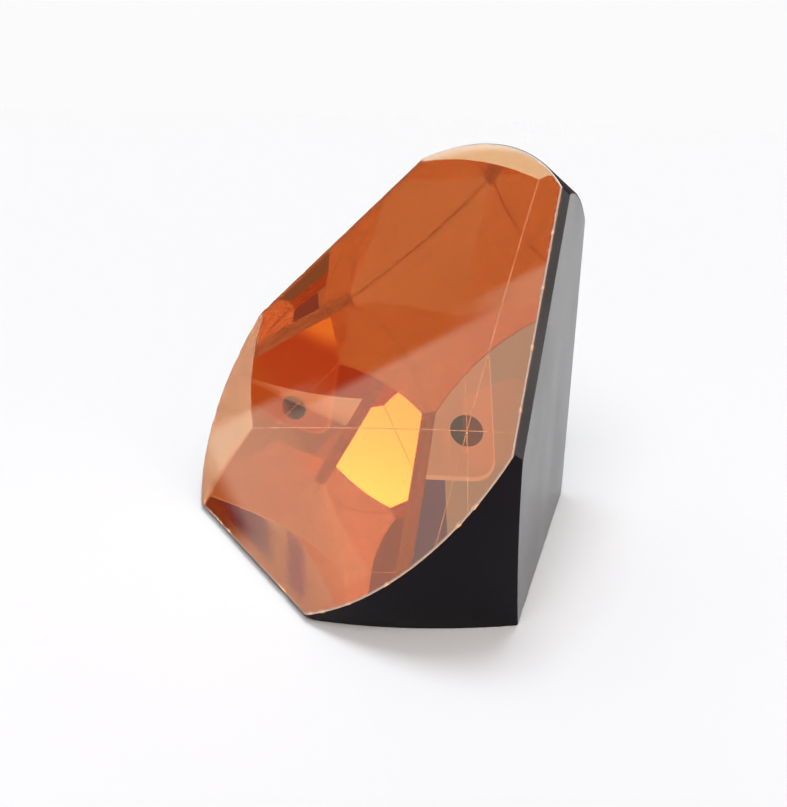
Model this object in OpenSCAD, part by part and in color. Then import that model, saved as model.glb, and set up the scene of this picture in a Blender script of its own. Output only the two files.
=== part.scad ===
// Corner cube prism: a solid glass retroreflector with a ground round edge.
// Its three reflecting faces, ground barrel and lands carry a copper mirror
// film under black lacquer. It lies on one reflecting face, entrance face to
// the front and up, with the middle of its box over the origin.

/* [Glass] */
// Depth of the glass along the optical axis, from apex to entrance face
depth = 40; // [34:0.5:42]
// Diameter of the ground barrel
barrel_d = 64; // [60:0.5:76]
// Width of the ground land between the entrance face and each reflecting face
land = 1.4; // [0.8:0.1:2.5]

/* [Bevels] */
// Leg of the 45 degree bevel round the entrance face
face_bevel = 0.1; // [0.1:0.05:0.6]
// Width of the flat ground along each roof edge
roof_bevel = 0.1; // [0.05:0.05:0.5]

/* [Coats] */
// Thickness of the copper mirror film
copper_t = 0.05; // [0.04:0.01:0.15]
// Thickness of the black lacquer over the copper
lacquer_t = 0.12; // [0.08:0.01:0.3]

/* [Hidden] */
$fn = 160;

glass_colour = "lightcyan";
copper_colour = "#c0622f";
lacquer_colour = "#2a282c";

// Angle between the optical axis and each roof edge
tilt = acos(1 / sqrt(3));
barrel_r = barrel_d / 2;
// Each land runs at this distance from the optical axis
land_r = (depth - land) / sqrt(2);
coat_t = copper_t + lacquer_t;
// The coats stop where the bevel of the entrance face begins
coat_top = depth - face_bevel;
// Longer than the prism every way, for the blocks that cut it
reach = 2 * (depth + barrel_d);

// Turns about the optical axis: the middle of each reflecting face and its land
base_turn = -90;
right_turn = 30;
left_turn = 150;
// and each roof edge, with the arc of the barrel that cuts it off
top_edge_turn = 90;
right_edge_turn = -30;
left_edge_turn = 210;

// How far the lying prism goes in front of its apex and behind it
front_reach = max(
    coat_top * sin(tilt) + (land_r + coat_t) * cos(tilt),
    depth * sin(tilt) + (land_r - face_bevel) * cos(tilt)
);
back_reach = coat_t - roof_bevel / 2;

// The shapes below are drawn with the apex at the origin and the optical axis
// along Z. This lays them on the base face, the lacquer's underside at z = 0.
module lying() {
    translate([0, (front_reach - back_reach) / 2, coat_t]) rotate([tilt, 0, 0]) children();
}

// The space inside three square faces that meet at the apex, moved out by grow
module cube_corner(grow) {
    rotate([-tilt, 0, 0]) rotate([0, 0, -135]) translate(-grow * [1, 1, 1]) cube(reach);
}

// The space inside the flat along one roof edge, moved out by grow
module inside_roof_bevel(turn, grow) {
    rotate([0, 0, turn - top_edge_turn]) rotate([-tilt, 0, 0])
        translate([-reach / 2, grow - roof_bevel / 2 - reach, -reach / 2]) cube(reach);
}

// The whole rear: reflecting faces with the flats along their roof edges
module rear(grow) {
    intersection() {
        cube_corner(grow);
        inside_roof_bevel(top_edge_turn, grow);
        inside_roof_bevel(right_edge_turn, grow);
        inside_roof_bevel(left_edge_turn, grow);
    }
}

module barrel(grow) {
    cylinder(r = barrel_r + grow, h = 2 * reach, center = true);
}

// A three-sided bar: the three lands are parts of its sides
module lands(grow) {
    rotate([0, 0, top_edge_turn]) cylinder(r = 2 * (land_r + grow), h = 2 * reach, center = true, $fn = 3);
}

// Everything under a height on the optical axis
module below(height) {
    translate([-reach / 2, -reach / 2, height - reach]) cube(reach);
}

// A third of the space round the optical axis, its middle at turn
module third(turn) {
    rotate([0, 0, turn]) linear_extrude(2 * reach, center = true)
        polygon([for (a = [-60, 0, 60]) reach * [cos(a), sin(a)], [0, 0]]);
}

// The prism's outline moved out by grow and cut off square at height
module outline(grow, height) {
    intersection() {
        rear(grow);
        lands(grow);
        below(height);
        barrel(grow);
    }
}

// The space inside the bevel between the entrance face and the barrel
module inside_barrel_bevel() {
    translate([0, 0, depth - reach])
        cylinder(r1 = barrel_r - face_bevel + reach, r2 = barrel_r - face_bevel, h = reach);
}

// The space inside the bevel between the entrance face and one land
module inside_land_bevel(turn) {
    rotate([0, 0, turn]) translate([land_r - face_bevel, 0, depth]) rotate([0, -45, 0])
        translate([-reach, -reach / 2, -reach / 2]) cube(reach);
}

module glass_prism() {
    color(glass_colour) lying() intersection() {
        inside_land_bevel(base_turn);
        inside_land_bevel(right_turn);
        inside_land_bevel(left_turn);
        outline(0, depth);
        inside_barrel_bevel();
    }
}

// A coat between two offsets of the outline. The barrel's coat covers the ends
// of the others, and the lands' coat covers the ends of the faces' coat.
module coat_on_face(turn, inner, outer) {
    lying() intersection() {
        third(turn);
        barrel(inner);
        lands(inner);
        difference() {
            outline(outer, coat_top);
            rear(inner);
        }
    }
}

module coat_on_land(turn, inner, outer) {
    lying() intersection() {
        third(turn);
        barrel(inner);
        difference() {
            outline(outer, coat_top);
            lands(inner);
        }
    }
}

module coat_on_barrel(turn, inner, outer) {
    lying() intersection() {
        third(turn);
        difference() {
            outline(outer, coat_top);
            barrel(inner);
        }
    }
}

module copper_face(turn) {
    color(copper_colour) coat_on_face(turn, 0, copper_t);
}

module copper_land(turn) {
    color(copper_colour) coat_on_land(turn, 0, copper_t);
}

module copper_barrel(turn) {
    color(copper_colour) coat_on_barrel(turn, 0, copper_t);
}

module lacquer_face(turn) {
    color(lacquer_colour) coat_on_face(turn, copper_t, coat_t);
}

module lacquer_land(turn) {
    color(lacquer_colour) coat_on_land(turn, copper_t, coat_t);
}

module lacquer_barrel(turn) {
    color(lacquer_colour) coat_on_barrel(turn, copper_t, coat_t);
}

glass_prism();
copper_face(base_turn);  // copper_base_face
copper_face(left_turn);  // copper_left_face
copper_face(right_turn);  // copper_right_face
copper_land(base_turn);  // copper_base_land
copper_land(left_turn);  // copper_left_land
copper_land(right_turn);  // copper_right_land
copper_barrel(top_edge_turn);  // copper_top_barrel
copper_barrel(left_edge_turn);  // copper_left_barrel
copper_barrel(right_edge_turn);  // copper_right_barrel
lacquer_face(base_turn);  // lacquer_base_face
lacquer_face(left_turn);  // lacquer_left_face
lacquer_face(right_turn);  // lacquer_right_face
lacquer_land(base_turn);  // lacquer_base_land
lacquer_land(left_turn);  // lacquer_left_land
lacquer_land(right_turn);  // lacquer_right_land
lacquer_barrel(top_edge_turn);  // lacquer_top_barrel
lacquer_barrel(left_edge_turn);  // lacquer_left_barrel
lacquer_barrel(right_edge_turn);  // lacquer_right_barrel
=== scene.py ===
import math
import random

import bmesh
import bpy
from mathutils import Matrix, Vector, noise


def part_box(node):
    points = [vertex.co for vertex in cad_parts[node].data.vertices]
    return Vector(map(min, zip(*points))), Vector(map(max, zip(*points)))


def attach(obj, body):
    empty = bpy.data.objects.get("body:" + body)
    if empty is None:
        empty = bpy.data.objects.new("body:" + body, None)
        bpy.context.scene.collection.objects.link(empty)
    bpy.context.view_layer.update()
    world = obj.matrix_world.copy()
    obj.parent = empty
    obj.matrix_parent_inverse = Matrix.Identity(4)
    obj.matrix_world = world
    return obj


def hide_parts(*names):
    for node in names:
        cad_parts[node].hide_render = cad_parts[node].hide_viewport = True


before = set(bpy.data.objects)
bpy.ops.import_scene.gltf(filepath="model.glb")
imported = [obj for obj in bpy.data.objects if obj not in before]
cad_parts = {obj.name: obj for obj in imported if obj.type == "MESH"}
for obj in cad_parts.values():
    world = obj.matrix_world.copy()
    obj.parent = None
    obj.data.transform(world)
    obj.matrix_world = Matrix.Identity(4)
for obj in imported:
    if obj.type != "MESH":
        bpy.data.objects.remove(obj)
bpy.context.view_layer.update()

# Corner cube prism: one block of glass, a copper film on its rear and barrel, black lacquer over that.
# Every piece is modelled in millimetres with the apex at the origin and the optical axis along Z,
# then laid on its base face, where the frame has it.

mm = 0.001
prism = {
    "depth": 40.0,      # apex to entrance face
    "barrelR": 32.0,
    "land": 1.4,        # width of the ground land under each straight edge
    "faceBevel": 0.1,
    "roofBevel": 0.1,
    "copper": 0.05,
    "lacquer": 0.12,
    "steps": 960,       # flats round a full turn, the same for every piece so that their facets agree
}
tilt = math.acos(1 / math.sqrt(3))      # between the axis and each roof edge
landR = (prism["depth"] - prism["land"]) / math.sqrt(2)
coatTop = prism["depth"] - prism["faceBevel"]
coatT = prism["copper"] + prism["lacquer"]
glassLow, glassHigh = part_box("glass_prism")
apex = Vector((0, glassHigh.y + prism["roofBevel"] / 2 * mm, glassLow.z))

faceTurns = {"Base": -90, "Right": 30, "Left": 150}     # middle of each reflecting face and its land
arcTurns = {"Top": 90, "Right": -30, "Left": 210}       # middle of each barrel arc and its roof edge
arcToFace = 60                                          # turn from a barrel arc to the faces beside it
wedgeTurn = 90 + arcToFace      # from a face to the normals of the planes that part it from the next

modelling = {
    "smoothAngle": 22.0,    # degrees: sharper edges stay sharp
    "flatArea": 10.0,       # mm2: larger faces are shaded flat
    "merge": 1e-4,          # mm
    "cutMerge": 1e-5,       # mm
    "alike": 0.999,         # cosine between normals that count as one direction
    "onSkin": 0.004,        # mm: a face this near a coat's outer surface belongs to it
    "edgeBand": 0.5,        # mm from a land's plane, where the bevel's faces belong to that edge
    "spare": 1.0,           # mm that a block reaches past the apex before it is cut
    "coreSpare": 2.0,       # mm that the core which hollows a block reaches past the glass all round
    "mostCuts": 100,        # that one subdivision makes
}


def spoke(turn, out, up):
    a = math.radians(turn)
    return Vector((out * math.cos(a), out * math.sin(a), up))


def faceNormal(turn):
    return spoke(turn, math.sin(tilt), -math.cos(tilt))


def roofNormal(turn):
    return spoke(turn, math.cos(tilt), -math.sin(tilt))


def landNormal(turn):
    return spoke(turn, 1, 0)


# Modelling helpers

def editOnly(obj):
    bpy.ops.object.select_all(action="DESELECT")
    bpy.context.view_layer.objects.active = obj
    obj.select_set(True)
    bpy.ops.object.mode_set(mode="EDIT")
    bpy.ops.mesh.select_all(action="SELECT")


def objectMode():
    bpy.ops.object.mode_set(mode="OBJECT")


def addCylinder(radius, low, high):
    bpy.ops.object.select_all(action="DESELECT")
    bpy.ops.mesh.primitive_cylinder_add(
        vertices=prism["steps"], radius=radius, depth=high - low, location=(0, 0, (low + high) / 2)
    )
    obj = bpy.context.object
    bpy.ops.object.transform_apply(location=True, rotation=True, scale=True)
    editOnly(obj)
    return obj


def cutAway(normal, offset):
    bpy.ops.mesh.select_all(action="SELECT")
    bpy.ops.mesh.bisect(
        plane_co=normal * offset, plane_no=normal, use_fill=True, clear_outer=True,
        threshold=modelling["cutMerge"]
    )


def pickEdges(obj, test):
    bpy.ops.mesh.select_mode(type="EDGE")
    bpy.ops.mesh.select_all(action="DESELECT")
    bm = bmesh.from_edit_mesh(obj.data)
    for e in bm.edges:
        e.select_set(bool(test(e)))
    bm.select_flush_mode()
    bmesh.update_edit_mesh(obj.data)
    return sum(e.select for e in bm.edges)


def cleanUp(obj):
    bpy.ops.mesh.select_mode(type="VERT")
    bpy.ops.mesh.select_all(action="SELECT")
    bpy.ops.mesh.remove_doubles(threshold=modelling["merge"])
    bpy.ops.mesh.select_all(action="SELECT")
    bpy.ops.mesh.normals_make_consistent(inside=False)
    if bmesh.from_edit_mesh(obj.data).calc_volume(signed=True) < 0:
        bpy.ops.mesh.flip_normals()


def isAtHeight(v, height, tolerance=1e-3):
    return abs(v.co.z - height) < tolerance


def splitLongRim(obj, height):
    # the straight edges of the rim get points nearly as close as those of the arcs
    spacing = 2 * math.pi * prism["barrelR"] / prism["steps"]
    length = 2 * math.sqrt(prism["barrelR"] ** 2 - landR ** 2)

    def isLongRim(e):
        return e.calc_length() > length / 2 and all(isAtHeight(v, height) for v in e.verts)

    if pickEdges(obj, isLongRim):
        bpy.ops.mesh.subdivide(number_cuts=min(round(length / spacing), modelling["mostCuts"]))


def layDown(obj):
    objectMode()
    bpy.ops.object.select_all(action="DESELECT")
    bpy.context.view_layer.objects.active = obj
    obj.select_set(True)
    obj.rotation_euler = (tilt, 0, 0)
    obj.scale = (mm, mm, mm)
    obj.location = apex
    bpy.ops.object.transform_apply(location=True, rotation=True, scale=True)


def handOver(obj, name, node):
    bpy.ops.object.shade_smooth_by_angle(angle=math.radians(modelling["smoothAngle"]))
    for face in obj.data.polygons:
        if face.area > modelling["flatArea"] * mm * mm:
            face.use_smooth = False     # the plane faces stay plane up to their chipped edges
    obj.name = name
    obj.data.name = name
    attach(obj, "root")
    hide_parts(node)
    print("made", name, len(obj.data.polygons), "faces")


# Edge wear: the rim is slightly ragged all round, with shell-shaped chips in places (sizes in mm)

edgeWear = {
    "ragged": 0.05,
    "raggedPitch": 0.35,    # along the rim
    "layerStep": 7.3,       # so that each row of points is ragged in its own way
    "chipCount": 46,
    "chipWidth": (0.25, 0.9),
    "chipDepth": (0.06, 0.22),
    "seed": 11,
    "topBand": 0.01,        # how near a height a point must be to belong to its row
    "middleBand": 0.02,
    # how far the middle row of the bevel follows: inward, downward and in raggedness
    "middleIn": 0.7, "middleDown": 0.5, "middleRagged": 0.6,
    # the larger ones: turn, width, depth
    "largeChips": [
        (-68.5, 1.1, 0.3), (-70.5, 0.7, 0.22), (-57.0, 0.7, 0.2), (-53.5, 0.9, 0.22), (-46.0, 0.6, 0.16),
    ],
}


def makeChips():
    rng = random.Random(edgeWear["seed"])
    chips = list(edgeWear["largeChips"])
    for i in range(edgeWear["chipCount"]):
        turn = rng.uniform(-180, 180)
        width = rng.uniform(*edgeWear["chipWidth"])
        depth = rng.uniform(*edgeWear["chipDepth"])
        chips.append((turn, width, depth))
    return chips


chips = makeChips()


def turnOf(co):
    return math.degrees(math.atan2(co.y, co.x))


def chipAt(turn):
    deepest = 0.0
    for middle, width, depth in chips:
        away = abs((turn - middle + 180) % 360 - 180)
        s = math.radians(away) * prism["barrelR"] / (width / 2)
        if s < 1:
            deepest = max(deepest, depth * math.sqrt(1 - s * s))
    return deepest


def raggedAt(turn, layer):
    a = math.radians(turn)
    k = prism["barrelR"] / edgeWear["raggedPitch"]
    n = noise.noise(Vector((math.cos(a) * k, math.sin(a) * k, layer * edgeWear["layerStep"])))
    return edgeWear["ragged"] * max(0.0, 0.5 + n)


# Materials

def newMaterial(name):
    mat = bpy.data.materials.new(name)
    mat.use_nodes = True
    return mat, mat.node_tree, mat.node_tree.nodes["Principled BSDF"]


def node(tree, kind, inputs=None, **settings):
    n = tree.nodes.new(kind)
    for key, value in settings.items():
        setattr(n, key, value)
    for key, value in (inputs or {}).items():
        if isinstance(value, bpy.types.NodeSocket):
            tree.links.new(value, n.inputs[key])
        else:
            n.inputs[key].default_value = value
    return n


def objectNoise(tree, scale, detail=4.0):
    coords = node(tree, "ShaderNodeTexCoord").outputs["Object"]
    clouds = node(tree, "ShaderNodeTexNoise", {"Vector": coords, "Scale": scale, "Detail": detail})
    return clouds.outputs["Fac"]


def laidDown(direction):
    return Matrix.Rotation(tilt, 3, "X") @ direction


def along(tree, direction):
    # metres from the apex along a direction of the lying prism
    coords = node(tree, "ShaderNodeTexCoord").outputs["Object"]
    fromApex = node(tree, "ShaderNodeVectorMath", {0: coords, 1: apex}, operation="SUBTRACT").outputs[0]
    distance = node(tree, "ShaderNodeVectorMath", {0: fromApex, 1: direction}, operation="DOT_PRODUCT")
    return distance.outputs["Value"]


def ramp(tree, fac, stops):
    n = node(tree, "ShaderNodeValToRGB", {"Fac": fac})
    while len(n.color_ramp.elements) < len(stops):
        n.color_ramp.elements.new(0.5)
    for element, (position, colour) in zip(n.color_ramp.elements, stops):
        element.position = position
        element.color = (*colour, 1) if isinstance(colour, tuple) else (colour, colour, colour, 1)
    return n.outputs["Color"]


def mixColours(tree, fac, first, second):
    mix = node(tree, "ShaderNodeMix", data_type="RGBA")
    tree.links.new(fac, mix.inputs["Factor"])
    for key, value in ((6, first), (7, second)):
        if isinstance(value, bpy.types.NodeSocket):
            tree.links.new(value, mix.inputs[key])
        else:
            mix.inputs[key].default_value = (*value, 1)
    return mix.outputs[2]


def paint(tree, shader, socket, fac, stops):
    tree.links.new(ramp(tree, fac, stops), shader.inputs[socket])


def roughen(tree, shader, height, bump):
    strength, distance = bump
    relief = node(tree, "ShaderNodeBump", {"Height": height, "Strength": strength, "Distance": distance})
    tree.links.new(relief.outputs[0], shader.inputs["Normal"])


glassLook = {
    "ior": 1.5168,
    "smear": 110.0,     # scale of the faint smears that wiping leaves
    "clean": 0.0, "smeared": 0.006,
    "tinted": (0.985, 0.985, 0.985), "clear": (1.0, 1.0, 1.0),
}


def makePolishedGlass():
    mat, tree, shader = newMaterial("polishedGlass")
    shader.inputs["Transmission Weight"].default_value = 1.0
    shader.inputs["IOR"].default_value = glassLook["ior"]
    smear = objectNoise(tree, glassLook["smear"])
    paint(tree, shader, "Roughness", smear, [(0.5, glassLook["clean"]), (0.75, glassLook["smeared"])])
    paint(tree, shader, "Base Color", smear, [(0.3, glassLook["tinted"]), (0.7, glassLook["clear"])])
    return mat


bevelLook = {
    "grain": 9000.0,
    "rough": (0.35, 0.6),
    "bump": (0.5, 0.00002),     # strength and height in metres, here and below
    "transmission": 0.1,
    "dull": (0.25, 0.22, 0.21), "pale": (0.46, 0.42, 0.4),
    # painted shade: seen from inside the glass the ring is painted darker; on the left edge it is painted
    # lighter instead, a painted backlight
    "shadedInside": (0.62, 0.31, 0.16),
    # painted backlight: the left edge's ring seen from inside the glass
    "clear": (0.95, 0.8, 0.68),
}


def makeGroundBevel(name, inside):
    mat, tree, shader = newMaterial(name)
    shader.inputs["Transmission Weight"].default_value = bevelLook["transmission"]
    shader.inputs["IOR"].default_value = glassLook["ior"]
    grain = objectNoise(tree, bevelLook["grain"])
    low, high = bevelLook["rough"]
    paint(tree, shader, "Roughness", grain, [(0.3, low), (0.7, high)])
    outside = ramp(tree, grain, [(0.3, bevelLook["dull"]), (0.7, bevelLook["pale"])])
    # seen from inside the glass the bevel takes its painted shade colour, or its painted backlight colour on
    # the left edge
    fromInside = node(tree, "ShaderNodeNewGeometry").outputs["Backfacing"]
    tree.links.new(mixColours(tree, fromInside, outside, inside), shader.inputs["Base Color"])
    roughen(tree, shader, grain, bevelLook["bump"])
    return mat


copperLook = {"cloud": 40.0, "light": (0.99, 0.77, 0.62), "deep": (0.985, 0.755, 0.605), "haze": 0.002}


def makeCopperMirror():
    mat, tree, shader = newMaterial("copperMirror")
    shader.inputs["Metallic"].default_value = 1.0
    cloud = objectNoise(tree, copperLook["cloud"])
    paint(tree, shader, "Base Color", cloud, [(0.3, copperLook["deep"]), (0.7, copperLook["light"])])
    paint(tree, shader, "Roughness", cloud, [(0.4, 0.0), (0.7, copperLook["haze"])])
    return mat


# Copper on ground glass is matt. Its tone is painted deep towards the right barrel arc as painted shade, pale
# on the other two and palest at the top as painted light, with a painted glow at the top that is strongest
# beside the rim.
mattLook = {"specular": 0.1, "grain": 8000.0, "rough": (0.7, 0.85), "bump": (0.3, 0.00001)}
groundLook = {
    "cloud": 120.0,
    "cloudShare": 0.15,     # of the tone between pale and deep; the rest is painted shade towards the right arc
    "deep": (0.96, 0.54, 0.28),
    "pale": (0.83, 0.69, 0.57),
    # painted light: the top barrel is painted palest
    "paintedLitTop": (0.99, 0.95, 0.86),
    "paleTo": 2.0,          # mm from the axis towards the right arc
    "deepFrom": 18.0,
    "topFrom": 14.0,        # mm from the axis towards the top arc
    "topTo": 30.0,
    # painted glow, no lamp: emission on the top barrel, strongest beside the rim
    "paintedGlow": (0.2, 0.12, 0.02),
    "paintedGlowRim": (0.42, 0.42, 0.36),
    "rimFrom": 35.5,        # mm from the apex along the axis
}
edgeLook = {
    "cloud": 300.0,
    "land": {"light": (0.6, 0.29, 0.17), "dark": (0.52, 0.23, 0.12)},
    # painted highlight: the roof flats are painted lighter for the glint along the roof edges
    "roof": {"light": (0.95, 0.62, 0.42), "dark": (0.8, 0.47, 0.3)},
    "paintedLitEdge": {"light": (0.68, 0.38, 0.24), "dark": (0.58, 0.3, 0.18)},
    # The left land is painted a light copper tone, a painted light line along that edge, on each face whose
    # points average this near the rim, in mm.
    # Most points of its outer face are on the rim, so that takes in nearly the whole land.
    "paintedLitDown": 0.16,
}


def matt(name):
    mat, tree, shader = newMaterial(name)
    shader.inputs["Specular IOR Level"].default_value = mattLook["specular"]
    grain = objectNoise(tree, mattLook["grain"])
    low, high = mattLook["rough"]
    paint(tree, shader, "Roughness", grain, [(0.3, low), (0.7, high)])
    roughen(tree, shader, grain, mattLook["bump"])
    return mat, tree, shader


def share(tree, direction, low, high):
    # 0 at low to 1 at high, in mm along a direction of the upright prism
    place = along(tree, laidDown(direction))
    span = {"Value": place, "From Min": low * mm, "From Max": high * mm}
    return node(tree, "ShaderNodeMapRange", span).outputs["Result"]


def makeCopperGround():
    mat, tree, shader = matt("copperGround")
    cloud = objectNoise(tree, groundLook["cloud"])
    # painted light and shade by position: deep towards the right arc, palest towards the top, with random
    # cloud
    shadeTowardsRight = share(tree, spoke(arcTurns["Right"], 1, 0), groundLook["paleTo"], groundLook["deepFrom"])
    shadeAndCloudInputs = {0: cloud, 1: groundLook["cloudShare"], 2: shadeTowardsRight}
    shadeAndCloud = node(tree, "ShaderNodeMath", shadeAndCloudInputs, operation="MULTIPLY_ADD").outputs[0]
    tone = ramp(tree, shadeAndCloud, [(0.05, groundLook["pale"]), (1.0, groundLook["deep"])])
    lightTowardsTop = share(tree, spoke(arcTurns["Top"], 1, 0), groundLook["topFrom"], groundLook["topTo"])
    tone = mixColours(tree, lightTowardsTop, tone, groundLook["paintedLitTop"])
    tree.links.new(tone, shader.inputs["Base Color"])
    # the painted glow grows towards the rim and is limited to the top barrel
    glowTowardsRim = share(tree, Vector((0, 0, 1)), groundLook["rimFrom"], prism["depth"])
    paintedGlow = mixColours(tree, glowTowardsRim, groundLook["paintedGlow"], groundLook["paintedGlowRim"])
    tree.links.new(mixColours(tree, lightTowardsTop, (0, 0, 0), paintedGlow), shader.inputs["Emission Color"])
    shader.inputs["Emission Strength"].default_value = 1.0
    return mat


def makeCopperEdge(name, look):
    mat, tree, shader = matt(name)
    cloud = objectNoise(tree, edgeLook["cloud"])
    paint(tree, shader, "Base Color", cloud, [(0.35, look["dark"]), (0.7, look["light"])])
    return mat


lacquerLook = {
    "cloud": 90.0,
    "peel": 1500.0,
    "peelDetail": 2.0,
    "bump": (0.15, 0.00002),
    # on the reflecting faces
    "satin": {
        "clean": (0.011, 0.0105, 0.011), "dusty": (0.015, 0.0145, 0.0145),
        "rough": (0.24, 0.29), "specular": 0.31,
    },
    # on the barrel
    "matte": {
        "clean": (0.006, 0.0045, 0.0075), "dusty": (0.008, 0.0065, 0.0095),
        "rough": (0.5, 0.65), "specular": 0.07,
    },
    # on the lands
    "strip": {
        "clean": (0.03, 0.03, 0.034), "dusty": (0.045, 0.044, 0.05),
        "rough": (0.4, 0.5), "specular": 0.4,
    },
}


def makeLacquer(name, look):
    mat, tree, shader = newMaterial(name)
    shader.inputs["Specular IOR Level"].default_value = look["specular"]
    cloud = objectNoise(tree, lacquerLook["cloud"])
    paint(tree, shader, "Base Color", cloud, [(0.35, look["clean"]), (0.75, look["dusty"])])
    low, high = look["rough"]
    paint(tree, shader, "Roughness", cloud, [(0.3, low), (0.7, high)])
    peel = objectNoise(tree, lacquerLook["peel"], lacquerLook["peelDetail"])
    roughen(tree, shader, peel, lacquerLook["bump"])
    return mat


materials = {
    "glass": makePolishedGlass(),
    # the bevel's inside colour is painted shade; on the left edge it is painted backlight
    "bevel": makeGroundBevel("groundBevel", bevelLook["shadedInside"]),
    "backlitBevel": makeGroundBevel("backlitBevel", bevelLook["clear"]),
    "mirror": makeCopperMirror(),
    "ground": makeCopperGround(),
    "land": makeCopperEdge("copperLand", edgeLook["land"]),
    "roof": makeCopperEdge("copperRoof", edgeLook["roof"]),
    "satin": makeLacquer("satinLacquer", lacquerLook["satin"]),
    "matte": makeLacquer("matteLacquer", lacquerLook["matte"]),
    "strip": makeLacquer("stripLacquer", lacquerLook["strip"]),
    "paintedLitEdge": makeCopperEdge("paintedLitRim", edgeLook["paintedLitEdge"]),
}
print("materials ready")


# Glass

def makeGlass():
    obj = addCylinder(prism["barrelR"], -modelling["spare"], prism["depth"])
    for turn in faceTurns.values():
        cutAway(faceNormal(turn), 0)
    for turn in faceTurns.values():
        cutAway(landNormal(turn), landR)
    for turn in arcTurns.values():
        cutAway(roofNormal(turn), -prism["roofBevel"] / 2)
    cleanUp(obj)
    splitLongRim(obj, prism["depth"])
    pickEdges(obj, lambda e: all(isAtHeight(v, prism["depth"]) for v in e.verts))
    bpy.ops.mesh.bevel(
        offset_type="OFFSET", offset=prism["faceBevel"], segments=2, profile=0.25, affect="EDGES",
        clamp_overlap=False
    )
    cleanUp(obj)
    objectMode()
    chipBevel(obj)
    slots = ["glass", "bevel", "backlitBevel", "mirror", "ground", "land", "roof"]
    for key in slots:
        obj.data.materials.append(materials[key])
    for face in obj.data.polygons:
        face.material_index = slots.index(glassSurface(face))
    layDown(obj)
    handOver(obj, "prismGlass", "glass_prism")


def chipBevel(obj):
    top = prism["depth"]
    middle = top - prism["faceBevel"] / 2
    for v in obj.data.vertices:
        turn = turnOf(v.co)
        inward = -Vector((v.co.x, v.co.y, 0)).normalized()
        chip = chipAt(turn)
        if isAtHeight(v, top, edgeWear["topBand"]):
            v.co += inward * (chip + raggedAt(turn, 1))
        elif isAtHeight(v, middle, edgeWear["middleBand"]):
            v.co += inward * chip * edgeWear["middleIn"] + Vector((0, 0, -edgeWear["middleDown"] * chip))
            v.co += inward * raggedAt(turn, 2) * edgeWear["middleRagged"]


def glassSurface(face):
    n, c = face.normal, face.center
    if n.z > modelling["alike"] and face.area > modelling["flatArea"]:
        return "glass"
    if c.z > coatTop:
        # the left edge's bevel gets the painted backlight colour
        onLeftEdge = c.dot(landNormal(faceTurns["Left"])) > landR - modelling["edgeBand"]
        return "backlitBevel" if onLeftEdge else "bevel"
    surfaces = {
        "mirror": (faceNormal, faceTurns),
        "land": (landNormal, faceTurns),
        "roof": (roofNormal, arcTurns),
    }
    for surface, (normal, turns) in surfaces.items():
        if any(n.dot(normal(turn)) > modelling["alike"] for turn in turns.values()):
            return surface
    return "ground"


# Coats: each is the space between two offsets of the glass, inner and outer

def skinDepth(p, outer):
    depths = [p.dot(faceNormal(t)) - outer for t in faceTurns.values()]
    depths += [p.dot(landNormal(t)) - landR - outer for t in faceTurns.values()]
    depths += [p.dot(roofNormal(t)) - outer + prism["roofBevel"] / 2 for t in arcTurns.values()]
    depths += [Vector((p.x, p.y)).length - prism["barrelR"] - outer, p.z - coatTop]
    return max(depths)


def softenOuterEdges(obj, outer, width):
    # edges between two outer faces are rounded; mitres between pieces stay sharp and don't show
    def isOuter(face):
        return abs(skinDepth(face.calc_center_median(), outer)) < modelling["onSkin"]

    def sharpOutside(e):
        return (
            len(e.link_faces) == 2
            and all(isOuter(f) for f in e.link_faces)
            and e.calc_face_angle(0) > math.radians(modelling["smoothAngle"])
        )

    if pickEdges(obj, sharpOutside):
        bpy.ops.mesh.bevel(
            offset_type="OFFSET", offset=width, segments=2, profile=0.5, affect="EDGES", clamp_overlap=True
        )


def wearRim(obj, raggedShare, chipShare):
    for v in obj.data.vertices:
        if v.co.z > coatTop - prism["lacquer"]:
            turn = turnOf(v.co)
            v.co.z -= raggedShare * raggedAt(turn, 3) + chipShare * chipAt(turn)


def coatOnFace(turn, inner, outer):
    block = addCylinder(prism["barrelR"] + inner, -modelling["spare"], coatTop)
    cutAway(faceNormal(turn), outer)
    cutAway(landNormal(turn), landR + inner)
    for side in (-1, 1):
        cutAway(landNormal(turn + wedgeTurn * side), 0)
        cutAway(roofNormal(turn + arcToFace * side), outer - prism["roofBevel"] / 2)
    cleanUp(block)
    objectMode()
    spare = modelling["coreSpare"]
    core = addCylinder(prism["barrelR"] + spare, -spare, prism["depth"] + spare)
    cutAway(faceNormal(turn), inner)
    for side in (-1, 1):
        cutAway(roofNormal(turn + arcToFace * side), inner - prism["roofBevel"] / 2)
    cleanUp(core)
    objectMode()
    bpy.ops.object.select_all(action="DESELECT")
    bpy.context.view_layer.objects.active = block
    block.select_set(True)
    cut = block.modifiers.new("cut", "BOOLEAN")
    cut.operation = "DIFFERENCE"
    cut.solver = "EXACT"
    cut.object = core
    bpy.ops.object.modifier_apply(modifier=cut.name)
    bpy.data.objects.remove(core)
    editOnly(block)
    cleanUp(block)
    return block


def coatOnLand(turn, inner, outer):
    obj = addCylinder(prism["barrelR"] + inner, 0, coatTop)
    cutAway(landNormal(turn), landR + outer)
    cutAway(-landNormal(turn), -(landR + inner))
    cutAway(faceNormal(turn), outer)
    cleanUp(obj)
    return obj


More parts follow.
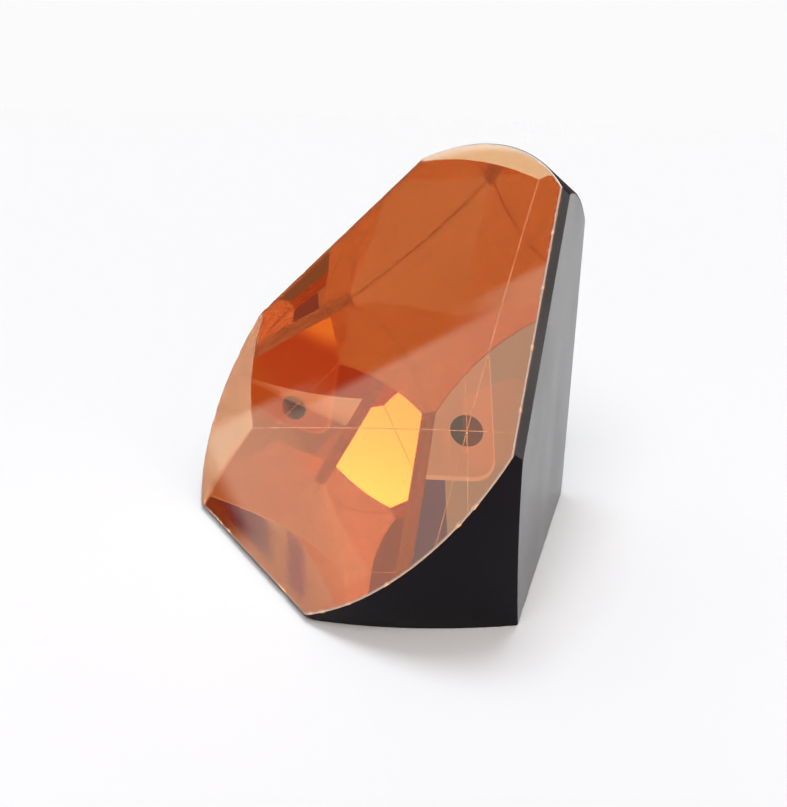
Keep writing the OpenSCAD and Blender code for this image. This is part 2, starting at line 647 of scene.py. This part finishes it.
def coatOnBarrel(turn, inner, outer):
    # a thin upright rectangle is spun clockwise past the arc, then trimmed by the faces and lands beside it
    low, high = prism["depth"] / 2, coatTop
    sweep = 60      # degrees
    bpy.ops.object.select_all(action="DESELECT")
    bpy.ops.mesh.primitive_plane_add(size=1)
    obj = bpy.context.object
    obj.scale = (outer - inner, high - low, 1)
    obj.rotation_euler = (math.pi / 2, 0, math.radians(turn + sweep / 2))
    obj.location = spoke(turn + sweep / 2, prism["barrelR"] + (inner + outer) / 2, (low + high) / 2)
    bpy.ops.object.transform_apply(location=True, rotation=True, scale=True)
    editOnly(obj)
    bpy.ops.mesh.delete(type="ONLY_FACE")
    bpy.ops.mesh.select_all(action="SELECT")
    bpy.ops.mesh.spin(
        steps=round(prism["steps"] * sweep / 360), angle=math.radians(sweep),
        center=(0, 0, 0), axis=(0, 0, 1)
    )
    for side in (-1, 1):
        cutAway(landNormal(turn + arcToFace * side), landR + outer)
        cutAway(faceNormal(turn + arcToFace * side), outer)
    cutAway(roofNormal(turn), outer - prism["roofBevel"] / 2)
    cleanUp(obj)
    return obj


# Offsets and softened edges in mm, then how far the rim follows the raggedness and the chips of the glass
coats = {
    # a hair clear of the glass, so that light inside always meets the glass's own skin
    "copper": {"inner": 0.002, "outer": prism["copper"], "soften": 0.0, "ragged": 0.3, "chip": 0.25},
    "lacquer": {"inner": prism["copper"], "outer": coatT, "soften": 0.035, "ragged": 1.0, "chip": 0.7},
}
shapes = {
    "Face": (coatOnFace, faceTurns, {"copper": "mirror", "lacquer": "satin"}),
    "Land": (coatOnLand, faceTurns, {"copper": "land", "lacquer": "strip"}),
    "Barrel": (coatOnBarrel, arcTurns, {"copper": "ground", "lacquer": "matte"}),
}


def makeCoats():
    for coatName, coat in coats.items():
        for shapeName, (makeShape, turns, finishes) in shapes.items():
            for sideName, turn in turns.items():
                obj = makeShape(turn, coat["inner"], coat["outer"])
                splitLongRim(obj, coatTop)
                if coat["soften"]:
                    softenOuterEdges(obj, coat["outer"], coat["soften"])
                    cleanUp(obj)
                objectMode()
                wearRim(obj, coat["ragged"], coat["chip"])
                finish = finishes[coatName]
                obj.data.materials.append(materials[finish])
                # the left land's lacquer is painted a light copper tone near the rim, a painted light line
                # along that edge
                if (sideName, shapeName) == ("Left", "Land"):
                    obj.data.materials.append(materials["paintedLitEdge"])
                    for face in obj.data.polygons:
                        face.material_index = int(face.center.z > coatTop - edgeLook["paintedLitDown"])
                layDown(obj)
                cadNode = f"{coatName}_{sideName}_{shapeName}".lower()
                handOver(obj, coatName + sideName + shapeName, cadNode)


makeGlass()
makeCoats()
print("prism ready")


# Camera, at the photograph's angle

shot = {
    "azimuth": 60.01,
    "elevation": 18.52,
    "roll": 1.865,                          # degrees, the image's right side up
    "aim": (-4.345, -25.875, 15.722),       # mm from the apex
    "distance": 139.37,                     # mm
    "lens": 47.04,
}


def makeCamera():
    az, el = math.radians(shot["azimuth"]), math.radians(shot["elevation"])
    back = Vector((math.sin(az) * math.cos(el), -math.cos(az) * math.cos(el), math.sin(el)))
    level = (-back).to_track_quat("-Z", "Y").to_matrix()
    turn = level @ Matrix.Rotation(math.radians(shot["roll"]), 3, "Z")
    place = apex + (Vector(shot["aim"]) + back * shot["distance"]) * mm
    bpy.ops.object.camera_add(location=place, rotation=turn.to_euler())
    camera = bpy.context.object
    camera.data.lens = shot["lens"]
    camera.data.clip_start = 0.001
    bpy.context.scene.camera = camera
    return camera


camera = makeCamera()


# A corner cube always shows the lens that looks at it, so cards and a dark ring travel with the camera.
# Seen through the prism they are turned by half a turn.
cards = [
    # name, left, right, down and up from the lens, corner and distance behind it in mm, tone
    ("warmCard", -30.0, 95.0, 24.0, 12.0, 0.5, 0.6, (0.45, 0.185, 0.1)),
    ("lensCard", 6.5, 95.0, 24.0, 12.0, 5, 1.0, (0.5, 0.33, 0.25)),
    ("cardRim", 6.8, 28.0, 24.0, 13.2, 5.6, 1.3, (0.66, 0.48, 0.38)),
    ("warmRim", -28.0, 95.0, 24.0, 12.5, 0.5, 1.4, (0.6, 0.33, 0.18)),
    ("backCard", 26.0, 6.0, 60.0, 34.0, 2, 1.6, (0.35, 0.31, 0.28)),
]
lensRing = {"radius": 4.1, "thick": 0.4, "behind": 0.7, "tone": (0.02, 0.02, 0.03)}


def glowing(obj, name, tone):
    mat, tree, shader = newMaterial(name)
    shader.inputs["Base Color"].default_value = (0, 0, 0, 1)
    shader.inputs["Specular IOR Level"].default_value = 0.0
    shader.inputs["Emission Color"].default_value = (*tone, 1)
    shader.inputs["Emission Strength"].default_value = 1.0
    obj.data.materials.append(mat)
    obj.name = name
    obj.data.transform(Matrix.Scale(mm, 4))
    obj.parent = camera
    obj.visible_camera = False
    obj.visible_shadow = False


def makeCard(name, left, right, down, up, corner, behind, tone):
    bpy.ops.object.select_all(action="DESELECT")
    bpy.ops.mesh.primitive_plane_add(size=1)
    card = bpy.context.object
    card.scale = (left + right, down + up, 1)
    card.location = ((right - left) / 2, (up - down) / 2, behind)
    bpy.ops.object.transform_apply(location=True, rotation=True, scale=True)
    editOnly(card)
    bpy.ops.mesh.bevel(offset=corner, segments=12, affect="VERTICES")
    objectMode()
    glowing(card, name, tone)


def makeLensRing():
    bpy.ops.object.select_all(action="DESELECT")
    bpy.ops.mesh.primitive_cylinder_add(
        vertices=64, radius=lensRing["radius"], depth=lensRing["thick"], location=(0, 0, lensRing["behind"])
    )
    ring = bpy.context.object
    bpy.ops.object.transform_apply(location=True, rotation=True, scale=True)
    glowing(ring, "lensRing", lensRing["tone"])


for card in cards:
    makeCard(*card)
makeLensRing()


# Floor and soft studio light

studio = {
    "white": 0.965,         # what the camera sees behind the floor
    "floorR": 0.9,
    "floorColour": (0.788, 0.818, 0.848),
    "floorRough": 0.8,
    "floorSpecular": 0.1,
    "dome": (0.5, 0.45, 0.38),
}

# Patches of the light round the prism: azimuth (from +Y towards +X), then elevation, each with its middle,
# its half width and its soft edge in degrees, then the colour
patches = [
    ("overhead", (90, 90, 10), (85, 23, 6), (1.35, 1.2, 1.0)),
    ("window", (82, 22, 5), (47, 18, 5), (15.4, 10.7, 8.4)),
    ("darkSide", (-88, 31, 3), (0, 65, 5), (0.46, 0.09, 0.03)),
    ("glowInDark", (-113, 4.5, 1.5), (7.5, 3, 1.2), (0.95, 0.5, 0.12)),
    ("brightSide", (-133.2, 16.2, 0.35), (0, 45, 6), (1.95, 1.62, 1.25)),
    ("brightSideHigh", (-121, 5.1, 0.35), (34, 7, 3), (1.95, 1.62, 1.25)),
    ("brightSideLow", (-121, 5.2, 0.35), (11, 4, 3), (1.95, 1.62, 1.25)),
    ("darkCorner", (-119, 2.8, 1), (4, 5.9, 0.6), (0.1, 0.02, 0.01)),
    ("frontFill", (165, 45, 5), (-20, 36, 6), (5.0, 4.4, 3.3)),
    ("frontHigh", (160, 20, 5), (45, 28, 6), (0.2, 0.2, 0.2)),
    ("behindCamera", (122, 18, 4), (28, 16, 4), (0.1, 0.07, 0.16)),
    ("highBehind", (-171.5, 8, 3), (51, 6, 3), (0.24, 0.12, 0.12)),
    ("lowRight", (92, 13, 2), (4, 13.6, 1), (0.46, 0.11, 0.015)),
    ("rightMiddle", (92, 13, 2), (22, 4.4, 1), (0.36, 0.18, 0.12)),
    ("darkSill", (98, 2.8, 1.1), (19.4, 1.1, 0.5), (0.03, 0.0, 0.09)),
    ("darkPost", (92.3, 1.1, 0.5), (18.8, 1.6, 0.6), (0.12, 0.03, 0.13)),
    ("redCorner", (101, 2.4, 0.8), (21, 1.4, 0.5), (0.17, 0.03, 0.015)),
    ("softBox", (-139, 6, 4), (28, 7, 4), (5.6, 2.8, 1.6)),
    ("softBoxMiddle", (-136, 4, 4), (34, 4, 4), (6.0, 4.9, 2.7)),
]

# Lamps for the floor and the outside: azimuth, elevation and softness in degrees, strength, colour
lamps = {
    "keyLamp": (-60, 84, 28, 1.4, (0.97, 1, 1.02)),
    "skyLamp": (0, 90, 100, 0.9, (1, 1, 1)),
    "frontLamp": (127, 45, 40, 2.2, (1, 0.91, 0.86)),
}


def makeFloor():
    bpy.ops.object.select_all(action="DESELECT")
    bpy.ops.mesh.primitive_circle_add(
        vertices=128, radius=studio["floorR"], fill_type="NGON", location=(0, 0, 0)
    )
    floor = bpy.context.object
    floor.name = "floor"
    mat, tree, shader = newMaterial("paleFloor")
    shader.inputs["Base Color"].default_value = (*studio["floorColour"], 1)
    shader.inputs["Roughness"].default_value = studio["floorRough"]
    shader.inputs["Specular IOR Level"].default_value = studio["floorSpecular"]
    floor.data.materials.append(mat)


def makeLight():
    world = bpy.data.worlds.new("studioLight")
    bpy.context.scene.world = world
    world.use_nodes = True
    tree = world.node_tree
    tree.nodes.clear()
    direction = node(tree, "ShaderNodeTexCoord").outputs["Generated"]
    axes = node(tree, "ShaderNodeSeparateXYZ", {0: direction}).outputs

    def calc(operation, *values):
        return node(tree, "ShaderNodeMath", dict(enumerate(values)), operation=operation).outputs[0]

    def band(value, middle, half, soft):
        away = calc("SUBTRACT", value, math.radians(middle))
        away = calc("ABSOLUTE", calc("WRAP", away, math.pi, -math.pi))
        edge = {
            "Value": away,
            "From Min": math.radians(half - soft), "From Max": math.radians(half + soft),
            "To Min": 1.0, "To Max": 0.0,
        }
        return node(tree, "ShaderNodeMapRange", edge, interpolation_type="SMOOTHSTEP").outputs["Result"]

    azimuth = calc("ARCTAN2", axes["X"], axes["Y"])
    elevation = calc("ARCSINE", axes["Z"])
    light = node(tree, "ShaderNodeRGB").outputs[0]
    light.default_value = (*studio["dome"], 1)
    for name, azimuths, elevations, colour in patches:
        inPatch = calc("MULTIPLY", band(azimuth, *azimuths), band(elevation, *elevations))
        light = mixColours(tree, inPatch, light, colour)

    around = node(tree, "ShaderNodeBackground", {"Color": light}).outputs[0]
    white = studio["white"]
    behind = node(tree, "ShaderNodeBackground", {"Color": (white, white, white, 1)}).outputs[0]
    seen = node(tree, "ShaderNodeLightPath").outputs["Is Camera Ray"]
    both = node(tree, "ShaderNodeMixShader", {0: seen, 1: around, 2: behind}).outputs[0]
    node(tree, "ShaderNodeOutputWorld", {"Surface": both})
    world.cycles_visibility.diffuse = False     # the lamps light the floor


def makeLamps():
    for name, (azimuth, elevation, softness, strength, colour) in lamps.items():
        turn = (math.radians(90 - elevation), 0, math.radians(180 - azimuth))
        bpy.ops.object.light_add(type="SUN", location=(0, 0, 1), rotation=turn)
        lamp = bpy.context.object
        lamp.name = name
        lamp.data.energy = strength
        lamp.data.angle = math.radians(softness)
        lamp.data.color = colour
        lamp.visible_glossy = False
        lamp.visible_transmission = False


makeFloor()
makeLight()
makeLamps()

scene = bpy.context.scene
scene.view_settings.view_transform = "Standard"
scene.cycles.max_bounces = 40
scene.cycles.glossy_bounces = 32
scene.cycles.transmission_bounces = 16
scene.cycles.diffuse_bounces = 6
scene.cycles.denoising_input_passes = "RGB"     # guides from inside the glass leave a grain
print("studio ready")
